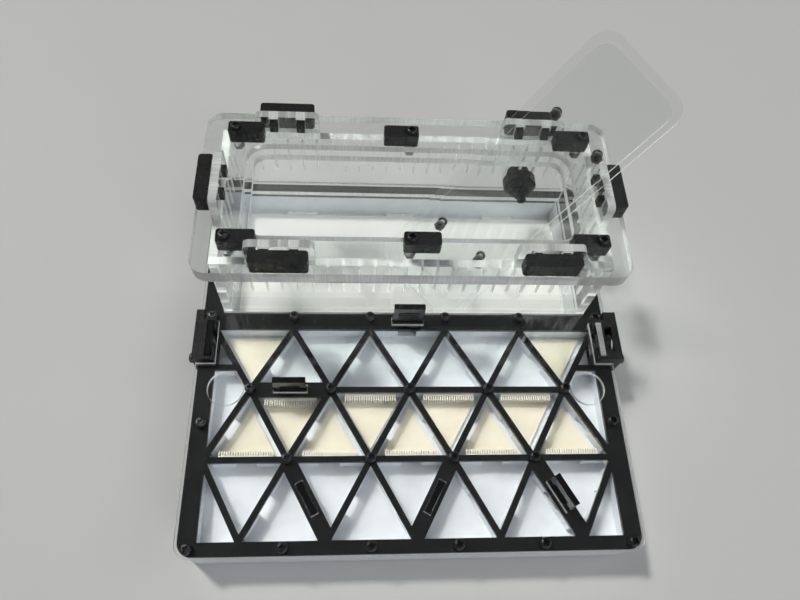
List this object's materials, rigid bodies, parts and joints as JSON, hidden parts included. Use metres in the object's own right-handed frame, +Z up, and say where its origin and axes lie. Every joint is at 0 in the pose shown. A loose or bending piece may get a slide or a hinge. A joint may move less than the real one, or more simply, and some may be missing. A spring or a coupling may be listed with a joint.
{
  "type": "ant habitat",
  "caption": "Low ant nest with triangular cells under a clear screwed cover, sliding gates, tube ports at the sides and a tall vented clear foraging box with a stepped lid leaning in it.",
  "frame": {"origin": "middle of the flat underside of the base", "axes": "X along the front edge, Y from the front edge to the foraging box, Z up"},
  "size_m": [0.2311, 0.21, 0.1473],
  "materials": {
    "white_print": "printed white plastic with fine layer lines",
    "cream_pad": "porous cream pad and ribbed mesh",
    "black_sheet": "polished black sheet",
    "clear_sheet": "clear sheet with bright polished edges",
    "white_sheet": "glossy white sheet",
    "black_steel": "black oxide steel",
    "black_print": "printed black plastic with fine slanting lines"
  },
  "bodies": {
    "habitat": {"base_block": "white_print", "chamber_frame": "white_print", "wall_strips": "white_print", "gate_blocks": "white_print", "screw_posts": "white_print", "moist_pads": "cream_pad", "mesh_strips": "cream_pad", "lattice_sheet": "black_sheet", "cover_sheet": "clear_sheet", "nest_screws": "black_steel", "port_block_left": "black_print", "port_block_right": "black_print", "port_screws": "black_steel", "box_floor": "white_sheet", "wall_front": "clear_sheet", "wall_back": "clear_sheet", "wall_left": "clear_sheet", "wall_right": "clear_sheet", "ring_lower": "clear_sheet", "ring_upper": "clear_sheet", "button_screws": "black_steel", "button_nuts": "black_steel", "rear_port_body": "black_print", "rear_port_nut": "black_print", "rear_port_cap": "black_print"},
    "gate_upper": {"gate_upper": "black_print"},
    "gate_exit": {"gate_exit": "black_print"},
    "gate_front_left": {"gate_front_left": "black_print"},
    "gate_front_middle": {"gate_front_middle": "black_print"},
    "gate_front_right": {"gate_front_right": "black_print"},
    "shutter_left": {"shutter_left": "black_print"},
    "shutter_right": {"shutter_right": "clear_sheet"},
    "fill_plug_left": {"fill_plug_left": "clear_sheet"},
    "fill_plug_right": {"fill_plug_right": "clear_sheet"},
    "clip_front_left": {"clip_front_left": "black_print"},
    "clip_front_right": {"clip_front_right": "black_print"},
    "clip_back_left": {"clip_back_left": "black_print"},
    "clip_back_right": {"clip_back_right": "black_print"},
    "clip_left": {"clip_left": "black_print"},
    "clip_right": {"clip_right": "black_print"},
    "button_front_left": {"button_front_left": "black_print"},
    "button_front_middle": {"button_front_middle": "black_print"},
    "button_front_right": {"button_front_right": "black_print"},
    "button_back_left": {"button_back_left": "black_print"},
    "button_back_middle": {"button_back_middle": "black_print"},
    "button_back_right": {"button_back_right": "black_print"},
    "lid": {"lid_sheet": "clear_sheet", "lid_step_sheet": "clear_sheet", "lid_bolts": "black_steel", "lid_nuts": "black_steel"}
  },
  "joints": [
    {"name": "gate_upper_lift", "type": "slide", "parent": "habitat", "child": "gate_upper", "axis": [0, 0, 1], "range_m": [-0.0115, 0]},
    {"name": "gate_exit_lift", "type": "slide", "parent": "habitat", "child": "gate_exit", "axis": [0, 0, 1], "range_m": [-0.0115, 0]},
    {"name": "gate_front_left_lift", "type": "slide", "parent": "habitat", "child": "gate_front_left", "axis": [0, 0, 1], "range_m": [0, 0.0115]},
    {"name": "gate_front_middle_lift", "type": "slide", "parent": "habitat", "child": "gate_front_middle", "axis": [0, 0, 1], "range_m": [0, 0.0115]},
    {"name": "gate_front_right_lift", "type": "slide", "parent": "habitat", "child": "gate_front_right", "axis": [0, 0, 1], "range_m": [-0.0115, 0]},
    {"name": "shutter_left_lift", "type": "slide", "parent": "habitat", "child": "shutter_left", "axis": [0, 0, 1], "range_m": [0, 0.016]},
    {"name": "fill_plug_left_lift", "type": "slide", "parent": "habitat", "child": "fill_plug_left", "axis": [0, 0, 1], "range_m": [0, 0.01]},
    {"name": "shutter_right_lift", "type": "slide", "parent": "habitat", "child": "shutter_right", "axis": [0, 0, 1], "range_m": [0, 0.016]},
    {"name": "fill_plug_right_lift", "type": "slide", "parent": "habitat", "child": "fill_plug_right", "axis": [0, 0, 1], "range_m": [0, 0.01]},
    {"name": "clip_front_left_pull", "type": "slide", "parent": "habitat", "child": "clip_front_left", "axis": [0, -1, 0], "range_m": [0, 0.009]},
    {"name": "clip_front_right_pull", "type": "slide", "parent": "habitat", "child": "clip_front_right", "axis": [0, -1, 0], "range_m": [0, 0.009]},
    {"name": "clip_back_left_pull", "type": "slide", "parent": "habitat", "child": "clip_back_left", "axis": [0, 1, 0], "range_m": [0, 0.009]},
    {"name": "clip_back_right_pull", "type": "slide", "parent": "habitat", "child": "clip_back_right", "axis": [0, 1, 0], "range_m": [0, 0.009]},
    {"name": "clip_left_pull", "type": "slide", "parent": "habitat", "child": "clip_left", "axis": [-1, 0, 0], "range_m": [0, 0.009]},
    {"name": "clip_right_pull", "type": "slide", "parent": "habitat", "child": "clip_right", "axis": [1, 0, 0], "range_m": [0, 0.009]},
    {"name": "button_front_left_turn", "type": "hinge", "parent": "habitat", "child": "button_front_left", "pos_m": [-0.088, 0.02535, 0.078], "axis": [0, 0, 1], "range_deg": [0, 90]},
    {"name": "button_front_middle_turn", "type": "hinge", "parent": "habitat", "child": "button_front_middle", "pos_m": [-0.0023, 0.02535, 0.078], "axis": [0, 0, 1], "range_deg": [0, 90]},
    {"name": "button_front_right_turn", "type": "hinge", "parent": "habitat", "child": "button_front_right", "pos_m": [0.088, 0.02535, 0.078], "axis": [0, 0, 1], "range_deg": [-90, 0]},
    {"name": "button_back_left_turn", "type": "hinge", "parent": "habitat", "child": "button_back_left", "pos_m": [-0.088, 0.08945, 0.078], "axis": [0, 0, 1], "range_deg": [-90, 0]},
    {"name": "button_back_middle_turn", "type": "hinge", "parent": "habitat", "child": "button_back_middle", "pos_m": [-0.0003, 0.08945, 0.078], "axis": [0, 0, 1], "range_deg": [0, 90]},
    {"name": "button_back_right_turn", "type": "hinge", "parent": "habitat", "child": "button_back_right", "pos_m": [0.088, 0.08945, 0.078], "axis": [0, 0, 1], "range_deg": [0, 90]},
    {"name": "lid_draw", "type": "slide", "parent": "habitat", "child": "lid", "axis": [0.5887, 0.2584, 0.766], "range_m": [0, 0.12]}
  ]
}
